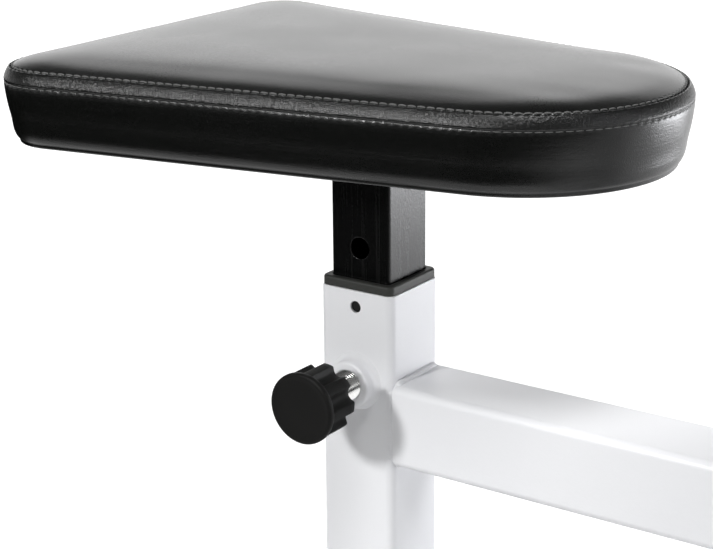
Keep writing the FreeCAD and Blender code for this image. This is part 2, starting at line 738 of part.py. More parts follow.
def make_pin():
    boss = pin_body("pin_boss")
    bore = "barrel_diameter/2 + thread_gap"
    revolve(boss, [
        (bore, "0"),
        ("boss_diameter/2 + boss_bead", "0"),
        ("boss_diameter/2 + boss_bead*0.3", "boss_bead*0.3"),
        ("boss_diameter/2", "boss_bead"),
        ("boss_diameter/2", "boss_height - boss_edge"),
        ("boss_diameter/2 - boss_edge", "boss_height"),
        (bore, "boss_height"),
    ])
    barrel = pin_body("pin_barrel")
    slide = "pin_diameter/2 + pin_gap"
    revolve(barrel, [
        (slide, "slip_gap"),
        ("barrel_diameter/2", "slip_gap"),
        ("barrel_diameter/2", "barrel_length"),
        ("rod_diameter/2 + pin_gap", "barrel_length"),
        ("rod_diameter/2 + pin_gap", "barrel_length - barrel_cap"),
        (slide, "barrel_length - barrel_cap"),
    ])
    plunger = pin_body("pin_plunger")
    revolve(plunger, [
        ("0", "0 - (pin_tip)"),
        ("pin_diameter*0.36", "0 - (pin_tip)"),
        ("pin_diameter/2", "pin_diameter*0.12 - (pin_tip)"),
        ("pin_diameter/2", "pin_shoulder - (pin_tip)"),
        ("rod_diameter/2", "pin_shoulder - (pin_tip)"),
        ("rod_diameter/2", "knob_back + knob_length - rod_shy"),
        ("0", "knob_back + knob_length - rod_shy"),
    ])
    make_knob()
    make_spring()


def make_knob():
    knob = pin_body("pin_knob")
    front = "knob_back + knob_length"
    hollow = "barrel_diameter/2 + knob_play/2"
    rod = "rod_diameter/2 + thread_gap"
    lobe = "knob_diameter/2 - knob_step"
    revolve(knob, [
        (hollow, "knob_back"),
        (f"{lobe} - knob_edge", "knob_back"),
        (lobe, "knob_back + knob_edge"),
        (lobe, f"{front} - knob_disc"),
        ("knob_diameter/2", f"{front} - knob_disc"),
        ("knob_diameter/2", f"{front} - knob_edge"),
        ("knob_diameter/2 - knob_edge", front),
        ("0", front),
        ("0", f"{front} - rod_shy + slip_gap"),
        (rod, f"{front} - rod_shy + slip_gap"),
        (rod, "knob_back + barrel_tuck + knob_play"),
        (hollow, "knob_back + barrel_tuck + knob_play"),
    ])
    flute = new_sketch(knob, height="knob_back")
    off_axis = f"({lobe} + flute_radius - flute_depth)"
    draw_circle(flute, "2*flute_radius", f"{off_axis}*cos(flute_turn)", f"{off_axis}*sin(flute_turn)")
    first = pocket(knob, flute, "knob_length - knob_disc", reverse=True)
    ring = knob.newObject("PartDesign::PolarPattern", "Flutes")
    ring.Originals = [first]
    ring.Axis = (flute, ["N_Axis"])
    ring.Angle = 360
    bind(ring, "Occurrences", "flute_count")
    knob.Tip = ring


def biarc(start, heading, end, final):
    """Two arcs from one point and direction to another."""
    chord = end - start
    swing = 2*(1 - heading.dot(final))
    drive = chord.dot(heading + final)
    reach = (math.sqrt(drive*drive + swing*chord.dot(chord)) - drive)/swing
    middle = (start + end + (heading - final)*reach)*0.5
    return [bow(start, heading, middle, 1), bow(end, final, middle, -1)]


def bow(tip, direction, middle, way):
    """The arc that leaves a tip along a direction, or comes in to it, by way of 1 or -1."""
    chord = middle - tip
    leaving = direction*way
    along_chord = FreeCAD.Vector(chord).normalize()
    bulge = leaving - along_chord*leaving.dot(along_chord)
    bulge.normalize()
    half = math.acos(leaving.dot(along_chord))/2
    crest = tip + chord*0.5 + bulge*(chord.Length/2*math.tan(half))
    if way > 0:
        return Part.Arc(tip, crest, middle).toShape()
    return Part.Arc(middle, crest, tip).toShape()


def make_spring():
    """A coil from the plunger's shoulder to the barrel's closed end, in quarter turns."""
    wire = value("spring_wire")
    bottom = value("pin_shoulder - (pin_tip) + spring_wire/2 + slip_gap")
    top = value("barrel_length - barrel_cap - spring_wire/2 - slip_gap")
    coil_radius = value("(rod_diameter + pin_diameter)/4 + pin_gap/2")
    quarters = int(4*value("spring_turns"))
    climb = (top - bottom)/quarters
    rise = climb*2/math.pi

    def spot(k):
        angle = k*math.pi/2
        point = FreeCAD.Vector(coil_radius*math.cos(angle), coil_radius*math.sin(angle), bottom + k*climb)
        heading = FreeCAD.Vector(-coil_radius*math.sin(angle), coil_radius*math.cos(angle), rise)
        return point, heading.normalize()

    edges = []
    for k in range(quarters):
        edges += biarc(*spot(k), *spot(k + 1))
    path = Part.Wire(edges)
    point, heading = spot(0)
    section = Part.Wire([Part.Circle(point, heading, wire/2).toShape()])
    print("least gap between the spring's turns:", round(4*climb - wire, 3))
    node = doc.addObject("Part::Feature", "pin_spring")
    node.Label = "pin_spring"
    node.Shape = path.makePipeShell([section], True, False)
    place(node, "seat_x", "0 - tube_size/2", "pin_z", NEAR)
    subparts.append(node)


# The bar rest in front of the arm pad.
def make_bar_rest():
    tube("bar_rest_arm", "rest_tube", "tube_wall", "tube_corner",
         "rest_reach - tube_size/2 - rest_tube/2",
         x="front_x + tube_size/2", z="rest_height", turn=FORWARD)
    tube("bar_rest_cross_tube", "rest_tube", "tube_wall", "tube_corner", "rest_width",
         x="rest_x", y="rest_width/2", z="rest_height", turn=NEAR)
    make_hook("near", "0 - rest_width/2")
    make_hook("far", "rest_width/2 + hook_thickness")


def make_hook(side, y):
    hook = new_body(f"bar_hook_{side}", x="rest_x", y=y, z="rest_height")
    plate = new_sketch(hook, "XZ_Plane")
    waist = "rest_tube/2"
    wide = "cradle_radius + horn_width"
    shoulder = "cradle_rise - cradle_radius - horn_width"
    front_top = "cradle_rise + horn_front"
    rear_top = "cradle_rise + horn_rear"
    draw_polygon(plate, [
        (f"0 - {waist}", f"0 - {waist}"),
        (waist, f"0 - {waist}"),
        (waist, waist),
        (wide, shoulder),
        (wide, front_top),
        ("cradle_radius", front_top),
        ("cradle_radius", rear_top),
        (f"0 - ({wide})", rear_top),
        (f"0 - ({wide})", shoulder),
        (f"0 - {waist}", waist),
    ])
    pad(hook, plate, "hook_thickness")
    draw_cradle(hook, "cradle_radius", "horn_rear", "hook_thickness")
    rear = value(rear_top)
    front = value(front_top)

    def on_horn(edge):
        middle = edge.CenterOfMass
        level = min(abs(middle.z - rear), abs(middle.z - front)) < TOUCHING
        return level and edge.BoundBox.XLength < TOUCHING
    round_edges(hook, "horn_round", on_horn)
    liner = new_body(f"hook_liner_{side}", x="rest_x", y=f"{y} + liner_lap", z="rest_height")
    strip = new_sketch(liner, "XZ_Plane")
    draw_u(strip, "cradle_radius - slip_gap", "horn_rear - horn_round")
    pad(liner, strip, "hook_thickness + 2*liner_lap")
    draw_cradle(liner, "cradle_radius - slip_gap - liner_thickness", "horn_rear - horn_round",
                "hook_thickness + 2*liner_lap")


def draw_u(sketch, radius, rise):
    """A U round the racked bar's axis, open side up and closed by a straight line."""
    centre = vector("0", "cradle_rise")
    right = vector(radius, "cradle_rise")
    left = vector(f"0 - ({radius})", "cradle_rise")
    lift = vector("0", rise)
    sketch.addGeometry(arc(centre, value(radius), 180, 360), False)
    sketch.addGeometry(Part.LineSegment(right, right + lift), False)
    sketch.addGeometry(Part.LineSegment(right + lift, left + lift), False)
    sketch.addGeometry(Part.LineSegment(left + lift, left), False)
    link(sketch, "Tangent", 0, 2, 1, 1)
    link(sketch, "Coincident", 1, 2, 2, 1)
    link(sketch, "Coincident", 2, 2, 3, 1)
    link(sketch, "Tangent", 3, 2, 0, 1)
    link(sketch, "Vertical", 1)
    link(sketch, "Horizontal", 2)
    at(sketch, 0, 3, "0", "cradle_rise")
    measure(sketch, "Radius", (0,), radius)
    measure(sketch, "DistanceY", (1, 2), f"cradle_rise + {rise}")


def draw_cradle(body, radius, rise, thickness):
    cut = new_sketch(body, "XZ_Plane")
    draw_u(cut, radius, rise)
    pocket_both_ways(body, cut, f"4*({thickness})")


def check_and_export():
    doc.recompute()
    for item in doc.Objects:
        failed = [state for state in item.State if state in ("Invalid", "Error")]
        if failed:
            raise RuntimeError(f"{item.Label} is {failed}")
        if item.TypeId == "PartDesign::Pocket":
            if item.Shape.Volume > item.BaseFeature.Shape.Volume - 1:
                raise RuntimeError(f"{item.Label} of {item.getParent().Label} cuts nothing")
    for item in subparts:
        if item.Shape.isNull() or not item.Shape.isValid():
            raise RuntimeError(f"{item.Label} has no valid shape")
    os.makedirs("parts", exist_ok=True)
    for item in subparts:
        item.Shape.exportStep(f"parts/{item.Label}.step")


make_foot("rear", "rear_foot_length", "seat_x")
make_foot("front", "front_foot_length", "front_x")
make_base_plate("seat_upright_base", "seat_x")
make_base_plate("front_upright_base", "front_x")
make_seat_upright()
make_front_upright()
make_beam()
make_frame_fasteners()
make_seat()
make_arm_pad()
make_post()
make_bush()
make_pin()
make_bar_rest()
check_and_export()
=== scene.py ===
# %% [markdown]
# # A preacher curl bench
# The bench has a padded seat on a post that slides in a white upright, a pull pin that locks the
# post, and a sloping arm pad with a bar rest in front of it. The photograph is a close view of the
# seat's end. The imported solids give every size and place. Blender adds what the eye looks for: the
# sewn and stuffed pads, the lobed knob, the thread, welds, broken edges and the finishes.

import json
import math
import random

import bmesh
import bpy
from mathutils import Matrix, Vector, kdtree, noise


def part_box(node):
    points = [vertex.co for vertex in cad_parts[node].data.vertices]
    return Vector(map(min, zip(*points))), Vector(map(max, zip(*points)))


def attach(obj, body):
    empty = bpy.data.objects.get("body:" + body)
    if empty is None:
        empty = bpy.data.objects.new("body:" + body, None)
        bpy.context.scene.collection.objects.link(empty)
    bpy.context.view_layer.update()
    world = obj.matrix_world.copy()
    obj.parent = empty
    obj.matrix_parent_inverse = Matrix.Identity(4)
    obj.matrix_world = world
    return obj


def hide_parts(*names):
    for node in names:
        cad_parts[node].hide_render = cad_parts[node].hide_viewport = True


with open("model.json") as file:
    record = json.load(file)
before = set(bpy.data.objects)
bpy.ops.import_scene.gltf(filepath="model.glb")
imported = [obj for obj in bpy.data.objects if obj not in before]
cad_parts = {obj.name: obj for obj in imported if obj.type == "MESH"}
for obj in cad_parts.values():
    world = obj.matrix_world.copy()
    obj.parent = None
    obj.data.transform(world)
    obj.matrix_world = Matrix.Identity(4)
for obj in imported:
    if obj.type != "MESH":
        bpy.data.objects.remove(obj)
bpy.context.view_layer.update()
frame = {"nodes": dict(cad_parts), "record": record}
MM = 0.001
SEAT_X = -0.244

# %% [markdown]
# ## Camera
# The camera was fitted to the photograph with the upright taken as a 50 mm tube. It stands to the
# right in front of the seat, looks down by about 18 degrees and is rolled by half a degree. A long
# lens keeps the tube's sides nearly parallel, as they are there.

# %% Camera
AZIMUTH = math.radians(35.009)
ELEVATION = math.radians(17.617)
ROLL = math.radians(-0.530)
FOCAL_PIXELS = 1875.3
PHOTO_WIDTH = 713
SENSOR = 36
CAMERA_SPOT = (0.343516, -0.862212, 0.674664)

reach = math.cos(ELEVATION)
back = Vector((math.sin(AZIMUTH)*reach, -math.cos(AZIMUTH)*reach, math.sin(ELEVATION)))
level = Vector((math.cos(AZIMUTH), math.sin(AZIMUTH), 0))
upward = back.cross(level)
right = math.cos(ROLL)*level + math.sin(ROLL)*upward
top = math.cos(ROLL)*upward - math.sin(ROLL)*level
view = Matrix((right, top, back)).transposed().to_4x4()
view.translation = CAMERA_SPOT

camera = bpy.data.objects.new("Camera", bpy.data.cameras.new("Camera"))
camera.data.sensor_width = SENSOR
camera.data.lens = FOCAL_PIXELS/PHOTO_WIDTH*SENSOR
camera.data.clip_end = 60
camera.matrix_world = view
bpy.context.scene.collection.objects.link(camera)
bpy.context.scene.camera = camera
print("lens", round(camera.data.lens, 2), "mm")

# %% [markdown]
# ## Shader sums in plain Python
# A material is a web of nodes. Drawing it by hand in code takes a line for every wire, so one small
# class stands for a socket instead: the signs + - * and / add Math nodes, and one method adds any other
# node. A finish then reads like a formula.

# %% A socket that Python's signs work on
class Flow:
    """A value on its way through a material's nodes."""

    def __init__(self, tree, socket=None):
        self.tree = tree
        self.socket = socket

    def node(self, kind, inputs, output=0, **settings):
        """Add a node, set it up, fill its inputs and give back what flows out of it."""
        made = self.tree.nodes.new("ShaderNode" + kind)
        for name, setting in settings.items():
            setattr(made, name, setting)
        for name, given in inputs.items():
            if isinstance(given, Flow):
                self.tree.links.new(given.socket, made.inputs[name])
            else:
                made.inputs[name].default_value = given
        return Flow(self.tree, made.outputs[output] if made.outputs else None)

    def sum(self, operation, *terms):
        return self.node("Math", dict(enumerate(terms)), operation=operation)

    def __add__(self, other):
        return self.sum("ADD", self, other)

    def __radd__(self, other):
        return self.sum("ADD", other, self)

    def __sub__(self, other):
        return self.sum("SUBTRACT", self, other)

    def __rsub__(self, other):
        return self.sum("SUBTRACT", other, self)

    def __mul__(self, other):
        return self.sum("MULTIPLY", self, other)

    def __rmul__(self, other):
        return self.sum("MULTIPLY", other, self)

    def __truediv__(self, other):
        return self.sum("DIVIDE", self, other)

    def __rtruediv__(self, other):
        return self.sum("DIVIDE", other, self)

    def places(self, stretch=(1, 1, 1)):
        """Object coordinates, pulled out by a factor along each axis."""
        where = self.node("TexCoord", {}, "Object")
        return self.node("Mapping", {"Vector": where, "Scale": stretch})

    def grain(self, where, scale, detail=2.0, rough=0.5):
        return self.node("TexNoise", {"Vector": where, "Scale": scale, "Detail": detail, "Roughness": rough})

    def fit(self, low, high, start=0.0, end=1.0):
        """Stretch a range of values over another and cut off what lies outside."""
        return self.node("MapRange", {"Value": self, "From Min": low, "From Max": high, "To Min": start,
                                      "To Max": end}, clamp=True)

    def tint(self, dark, light):
        """A colour between two, by this value."""
        return self.node("Mix", {0: self, 6: (*dark, 1), 7: (*light, 1)}, 2, data_type="RGBA")

    def near(self, spot, reach):
        """One at a spot, falling to nothing at a distance from it."""
        return (1 - self.sum("ABSOLUTE", self - spot)/reach).fit(0, 1)

    def bump(self, depth, strength=1.0):
        """A surface that this value raises by up to a depth in metres."""
        return self.node("Bump", {"Height": self, "Distance": depth, "Strength": strength})


def new_finish(name, **constants):
    """A material with its constant sockets set; gives its shader, and a flow to start from."""
    material = bpy.data.materials.new(name)
    material.use_nodes = True
    shader = material.node_tree.nodes["Principled BSDF"]
    for socket, setting in constants.items():
        shader.inputs[socket.replace("_", " ")].default_value = setting
    finishes[name] = material
    return shader, Flow(material.node_tree)


def wear(shader, **flows):
    """Join flows to a shader's sockets."""
    for socket, flow in flows.items():
        flow.tree.links.new(flow.socket, shader.inputs[socket.replace("_", " ")])


finishes = {}
print("ready to mix finishes")

# %% [markdown]
# ## Powder-coated steel
# The frame is sprayed with white powder and baked, and the post with black. The powder melts into a
# skin with a faint orange peel, about a millimetre from bump to bump. White gets a cool tint and a
# slow change of tone. The post also has fine upright scuffs, because it slides in its bush.

# %% White and black paint
shader, flow = new_finish("white_paint", Specular_IOR_Level=0.4)
peel = flow.grain(flow.places(), 620, 1.5)
cloud = flow.grain(flow.places(), 7, 2)
wear(shader, Base_Color=cloud.tint((0.815, 0.822, 0.845), (0.865, 0.868, 0.882)),
     Roughness=0.26 + 0.1*cloud + 0.05*peel, Normal=peel.bump(0.00012, 0.55))

shader, flow = new_finish("black_paint", Specular_IOR_Level=0.32)
peel = flow.grain(flow.places(), 760, 1.5)
scuff = flow.grain(flow.places((260, 260, 5)), 1.0, 4, 0.65).fit(0.55, 0.75)
wear(shader, Base_Color=scuff.tint((0.0012, 0.0013, 0.0013), (0.005, 0.005, 0.0048)),
     Roughness=0.22 + 0.06*peel + 0.12*scuff, Normal=(peel + 0.35*scuff).bump(0.00011, 0.6))
print("paints: white, black")

# %% [markdown]
# ## Vinyl and thread
# The pads wear black vinyl with a pressed grain of small cells. It is nearly black where it mirrors
# something dark and pale where it mirrors something bright, so it needs a black colour and a clear
# gloss rather than grey. Needle and thread pucker it: each stitch pulls a slanted dent at the two seams,
# the roll between them is crinkled across, and the band is stretched in fine streaks along it. These
# follow the cover, so they read an attribute that counts stitches along it and metres down it.

# %% Vinyl and thread
SEAM_AT = 0.0031
SEAM_REACH = 0.0032
ROW_AT = 0.0142
ROW_REACH = 0.002
SLANT = 60
ROLL_START = (0.005, 0.0064)
ROLL_END = (0.0141, 0.0127)
BAND_START = (0.0145, 0.0175)

shader, flow = new_finish("vinyl", Specular_IOR_Level=0.4)
where = flow.places()
bent = flow.node("VectorMath", {0: where, 1: flow.node("VectorMath", {
    0: flow.node("TexNoise", {"Vector": where, "Scale": 260.0, "Detail": 1.0}, "Color"),
    1: (0.0012, 0.0012, 0.0012)}, operation="MULTIPLY")}, operation="ADD")
cells = flow.node("TexVoronoi", {"Vector": bent, "Scale": 820.0}, feature="DISTANCE_TO_EDGE").fit(0.02, 0.3)
pores = flow.grain(where, 2300, 2)
slow = flow.grain(where, 11, 3, 0.6)

run = flow.node("Attribute", {}, "Vector", attribute_name="cover_run")
stitch = flow.node("SeparateXYZ", {0: run}, "X")
down = flow.node("SeparateXYZ", {0: run}, "Y")
dents = flow.sum("COSINE", math.tau*(stitch + SLANT*(down - SEAM_AT)))
pucker = dents*(down.near(SEAM_AT, SEAM_REACH) + 0.25*down.near(ROW_AT, ROW_REACH))
roll = down.fit(*ROLL_START)*down.fit(*ROLL_END)
crinkle = roll*flow.grain(where, 520, 4, 0.65)
drawn_out = flow.node("CombineXYZ", {0: stitch*0.16, 1: down*520})
streak = flow.grain(drawn_out, 1.0, 4, 0.65)*down.fit(*BAND_START)
wear(shader, Base_Color=cells.tint((0.0011, 0.0013, 0.0011), (0.0022, 0.0025, 0.0021)),
     Roughness=0.23 + 0.06*slow + 0.05*pores,
     Normal=(4.5*pucker + 4*crinkle + 1.1*streak + 0.3*cells + 0.2*pores).bump(0.0001))

shader, flow = new_finish("thread", Specular_IOR_Level=0.5)
twist = flow.node("TexWave", {"Vector": flow.places(), "Scale": 900.0, "Distortion": 2.0, "Detail": 1.0})
wear(shader, Base_Color=twist.tint((0.045, 0.046, 0.045), (0.125, 0.127, 0.123)),
     Roughness=0.42 + 0.2*twist, Normal=twist.bump(0.00008, 0.5))
print("soft finishes: vinyl, thread")

# %% [markdown]
# ## Plastic and rubber
# The bush, the knob, the hook liners and the foot caps are moulded. A mould is spark-eroded to a fine
# matt texture, so all four share one recipe with other tones and grains. On the bush, the snap catch down
# in its hole gets painted shade: its colour turns black in front of its face and below its top.

# %% Moulded plastic and rubber
BUTTON_SHADE_FACE_Y = -0.0229
BUTTON_SHADE_TOP_Z = 0.339


def moulded(name, tone, gloss, scale, depth, level, paint_button_shade=False):
    """One recipe for moulded pieces: tone, gloss, the grain's scale and depth; a flag paints shade on the
    snap catch, black down in its hole.
    """
    shader, flow = new_finish(name, Specular_IOR_Level=level)
    where = flow.places()
    spark = flow.grain(where, scale, 3, 0.6)
    cloud = flow.grain(where, 30, 2)
    lit = 0.45 + 0.3*spark + 0.3*cloud
    # Painted shade: the snap catch sits in shadow down its hole, so its colour is made black in front of its
    # face plane and below its top.
    if paint_button_shade:
        inside = flow.sum("LESS_THAN", flow.node("SeparateXYZ", {0: where}, "Y"), BUTTON_SHADE_FACE_Y)
        below = flow.sum("LESS_THAN", flow.node("SeparateXYZ", {0: where}, "Z"), BUTTON_SHADE_TOP_Z)
        lit = lit*(1 - inside*below)
    wear(shader, Base_Color=lit.tint((0.001, 0.001, 0.001), tone),
         Roughness=gloss + 0.12*cloud + 0.06*spark, Normal=spark.bump(depth, 0.6))


moulded("bush_plastic", (0.046, 0.0475, 0.0435), 0.4, 1500, 0.00005, 0.3, paint_button_shade=True)
moulded("knob_plastic", (0.0048, 0.0048, 0.0044), 0.46, 1700, 0.00006, 0.14)
moulded("liner_plastic", (0.022, 0.022, 0.022), 0.42, 1500, 0.00005, 0.4)
moulded("rubber", (0.021, 0.021, 0.0205), 0.62, 900, 0.00012, 0.3)
print("moulded:", "bush, knob, liners, rubber")

# %% [markdown]
# ## Bright metal
# Nuts and bolts are zinc plated and slightly cloudy, the pin is turned steel with rings round its
# axis, and the barrel's thread is bright. All are metals, so the colour sits in the reflection.

# %% Zinc, turned steel and bright thread
shader, flow = new_finish("zinc_steel", Metallic=1.0)
cloud = flow.grain(flow.places(), 260, 4, 0.6)
wear(shader, Base_Color=cloud.tint((0.5, 0.5, 0.52), (0.68, 0.68, 0.68)), Roughness=0.24 + 0.22*cloud,
     Normal=cloud.bump(0.00003, 0.5))

shader, flow = new_finish("pin_steel", Metallic=1.0)
rings = flow.grain(flow.places((20, 3000, 20)), 1.0, 2)
wear(shader, Base_Color=rings.tint((0.46, 0.46, 0.47), (0.62, 0.62, 0.62)), Roughness=0.22 + 0.2*rings,
     Normal=rings.bump(0.00002, 0.5))

shader, flow = new_finish("bright_thread", Metallic=1.0)
film = flow.grain(flow.places(), 420, 3, 0.6)
wear(shader, Base_Color=film.tint((0.66, 0.66, 0.65), (0.82, 0.82, 0.81)), Roughness=0.12 + 0.16*film,
     Normal=film.bump(0.00003, 0.5))
print("metals: zinc, pin steel, bright thread")

# %% [markdown]
# ## Plywood and foam
# A board of plies stiffens each pad between the foam and the vinyl that is pulled round it. Foam and board
# can't be seen on a finished pad. The board is a real piece and wears its own finish: long grain drawn out
# along the board. A foam finish of small open cells is made as well, but the foam solids are hidden and
# nothing wears it.

# %% Plywood and foam
shader, flow = new_finish("plywood", Specular_IOR_Level=0.3)
fibre = flow.grain(flow.places((14, 260, 260)), 1.0, 5, 0.65)
knots = flow.grain(flow.places((6, 18, 18)), 1.0, 3, 0.6)
wear(shader, Base_Color=(0.65*fibre + 0.35*knots).fit(0.3, 0.7).tint((0.33, 0.2, 0.1), (0.6, 0.43, 0.25)),
     Roughness=0.6 + 0.2*fibre, Normal=fibre.bump(0.0002, 0.5))

shader, flow = new_finish("foam", Specular_IOR_Level=0.2)
holes = flow.node("TexVoronoi", {"Vector": flow.places(), "Scale": 900.0})
wear(shader, Base_Color=holes.tint((0.5, 0.45, 0.3), (0.72, 0.68, 0.5)), Roughness=0.8 + 0.1*holes)
print("inner finishes: plywood, foam")

# %% [markdown]
# ## From a bmesh to a piece
# Every new piece ends the same way: its mesh becomes an object at the origin, shaded smooth, that
# rides on one body of the bench and wears one finish.

# %% Finishing a piece
def make_piece(name, shape, finish, body, slot=None, sharp=None):
    """Turn a bmesh into an object that rides on a body and wears a finish."""
    mesh = bpy.data.meshes.new(name)
    shape.to_mesh(mesh)
    shape.free()
    mesh.shade_smooth()
    if sharp:
        mesh.set_sharp_from_angle(angle=math.radians(sharp))
    mesh.materials.append(finishes[finish])
    piece = bpy.data.objects.new(name, mesh)
    bpy.context.scene.collection.objects.link(piece)
    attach(piece, body)
    slot or finish
    return piece


def even_normals(piece):
    """Let a piece's large flat faces keep their own direction beside narrow rounded ones."""
    weigh = piece.modifiers.new("Even normals", "WEIGHTED_NORMAL")
    weigh.keep_sharp = True
    weigh.weight = 100


def grow_ring(shape, rim, station, place):
    """Extrude a rim by one ring, and put each new point where its station belongs."""
    made = bmesh.ops.extrude_edge_only(shape, edges=rim)["geom"]
    points = [item for item in made if isinstance(item, bmesh.types.BMVert)]
    for point in points:
        point.co = place(point[station])
    fresh = set(points)
    return [item for item in made if isinstance(item, bmesh.types.BMEdge) and fresh.issuperset(item.verts)]


def rope(shape, station, count, sides, place):
    """A closed tube: a loop of stations that is grown round its own section and joined up."""
    loop = bmesh.ops.create_circle(shape, segments=count, radius=1)["verts"]
    for k, point in enumerate(loop):
        point[station] = k
        point.co = place(k, 0)
    rim = list(dict.fromkeys(edge for point in loop for edge in point.link_edges))
    for side in range(1, sides + 1):
        rim = grow_ring(shape, rim, station, lambda k, side=side: place(k, side))


print("helpers for pieces ready")

# %% [markdown]
# ## Rigid pieces with broken edges
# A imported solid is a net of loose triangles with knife-sharp edges. Real tube ends, plates and hooks
# have edges that the paint rounds off, and these edges catch the light. Each rigid solid is copied, its
# triangles are joined, flat areas are made whole, and every sharp edge gets a small bevel. Rebuilding
# each piece from nothing would only repeat sizes that the solids hold already.

# %% Copies of the rigid solids
FLAT_ANGLE = 0.5
SHARP_ANGLE = 38


def dress(node, edge):
    """Replace a node by a copy with bevelled edges and evenly shaded curves."""
    shape = bmesh.new()
    shape.from_mesh(frame["nodes"][node].data)
    bmesh.ops.remove_doubles(shape, verts=shape.verts, dist=2e-6)
    bmesh.ops.dissolve_limit(shape, angle_limit=math.radians(FLAT_ANGLE), verts=shape.verts,
                            edges=shape.edges)
    folded = math.radians(SHARP_ANGLE)
    sharp = [item for item in shape.edges if item.is_manifold and item.calc_face_angle() > folded]
    bmesh.ops.bevel(shape, geom=sharp, offset=edge, segments=2, profile=0.5, affect="EDGES", material=-1)
    piece = make_piece(node + "_dressed", shape, slot_of[node], body_of[node], sharp=SHARP_ANGLE)
    even_normals(piece)
    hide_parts(node)


slot_of = {part["node"]: part["material_slot"] for part in frame["record"]["subparts"]}
body_of = {node: body for body, nodes in frame["record"]["behaviour"]["bodies"].items() for node in nodes}
TUBES = ["rear_foot", "front_foot", "seat_upright", "front_upright", "main_beam", "bar_rest_arm",
         "bar_rest_cross_tube", "seat_post"]
PLATES = ["seat_upright_base", "front_upright_base", "beam_flange", "arm_plate", "seat_plate",
          "bar_hook_near", "bar_hook_far"]
MOULDINGS = ["guide_bush", "hook_liner_near", "hook_liner_far", "rear_foot_cap_near", "rear_foot_cap_far",
             "front_foot_cap_near", "front_foot_cap_far"]
FASTENERS = ["frame_bolts", "frame_washers", "frame_nuts", "seat_bolts", "seat_washers", "seat_tee_nuts",
             "arm_bolts", "arm_washers", "arm_tee_nuts"]
for group, edge in ((TUBES, 0.5), (PLATES, 0.8), (MOULDINGS, 0.6), (FASTENERS, 0.4)):
    for node in group:
        dress(node, edge*MM)
for node in ("seat_board", "arm_board", "pin_plunger", "pin_spring"):
    mesh = frame["nodes"][node].data
    mesh.materials.clear()
    mesh.materials.append(finishes[slot_of[node]])
print("dressed:", len(TUBES) + len(PLATES) + len(MOULDINGS) + len(FASTENERS), "solids")

# %% [markdown]
# ## The pads' pattern
# An upholsterer starts from a paper pattern: the pad's outline, and how far each line of the cover lies
# inside it. The seat's outline is a belt round three wheels, two for the rear corners and a large one
# for the nose. The arm pad's is a belt round four. The pattern is walked in even steps, and each step
# has a point and the direction straight out of the pad.

# %% A belt round wheels
def belt(wheels, count, start):
    """Points and outward directions at even steps, counter-clockwise round wheels (x, y, radius)."""
    centres = [Vector((x, y, 0)) for x, y, radius in wheels]
    radii = [radius for x, y, radius in wheels]
    number = len(wheels)
    leans = []
    for k in range(number):
        away = centres[(k + 1) % number] - centres[k]
        leans.append(math.atan2(away.y, away.x) - math.acos((radii[k] - radii[(k + 1) % number])/away.length))
    runs = []
    for k in range(number):
        after = (k + 1) % number
        out = Vector((math.cos(leans[k]), math.sin(leans[k]), 0))
        first = centres[k] + radii[k]*out
        last = centres[after] + radii[after]*out
        runs.append(((last - first).length, lambda share, a=first, b=last, n=out: (a.lerp(b, share), n)))
        turn = (leans[after] - leans[k]) % math.tau

        def bend(share, c=centres[after], r=radii[after], begin=leans[k], turn=turn):
            out = Vector((math.cos(begin + turn*share), math.sin(begin + turn*share), 0))
            return c + r*out, out
        runs.append((turn*radii[after], bend))
    total = sum(length for length, run in runs)
    begin = sum(length for length, run in runs[:start]) + runs[start][0]/2
    steps = []
    for k in range(count):
        walked = (begin + total*k/count) % total
        for length, run in runs:
            if walked <= length:
                break
            walked -= length
        steps.append(run(min(walked/length, 1)))
    return steps, total


SEAT_WHEELS = [(-0.144, -0.1005, 0.036), (0.092, 0, 0.0935), (-0.144, 0.1005, 0.036)]
ARM_WHEELS = [(x*0.101, y*0.256, 0.044) for x, y in ((-1, -1), (1, -1), (1, 1), (-1, 1))]
for wheels, name, start in ((SEAT_WHEELS, "seat", 4), (ARM_WHEELS, "arm pad", 6)):
    print(name, "edge:", round(belt(wheels, 8, start)[1], 3), "m")

# %% [markdown]
# ## Sewing and stuffing the pads
# A pad is a top panel and a side band of vinyl, sewn together along the top edge and topstitched again
# a little lower, then pulled over foam and stapled under a board. A remeshed block would lose the two
# seams, so the cover is a sheet of even squares laid onto the pattern, and the rest grows from its rim
# ring by ring: seam, shoulder, second seam, band, rounded base and turned-in edge. A ring is given by its
# inset and height in millimetres.

# %% The cover's rings
TOP_ROLL = 0.008
PANEL_INSET = 0.006
PANEL_LIFT = 0.2*MM
PANEL_START = 0.42
PANEL_ROUNDS = 260
BAND_FOOT = 8.0
SEAM_RINGS = [(5.2, -0.5), (4.75, -2.3), (4.4, -2.3), (3.85, -0.6)]
SHOULDER_RINGS = [(3.3, -0.65), (2.6, -1.7), (1.9, -2.9), (1.25, -4.2), (0.7, -5.6), (0.3, -6.9)]
STITCH_RINGS = [(0.3, -7.7), (0.8, -8.3), (0.45, -8.9)]
BAND_RINGS = [(0.35, 0.95), (0.55, 0.83), (0.95, 0.69), (1.4, 0.56), (1.95, 0.42), (2.65, 0.29), (3.4, 0.15)]
BASE_RINGS = [(3.95, 6.5), (4.35, 4.7), (4.95, 3.0), (5.6, 1.6), (6.2, 0.7), (6.8, 0.25), (7.3, -0.3),
              (7.3, -1.6), (7.8, -2.5), (8.9, -2.8), (13, -2.8), (18, -2.8), (23, -2.8), (23.2, -0.6)]


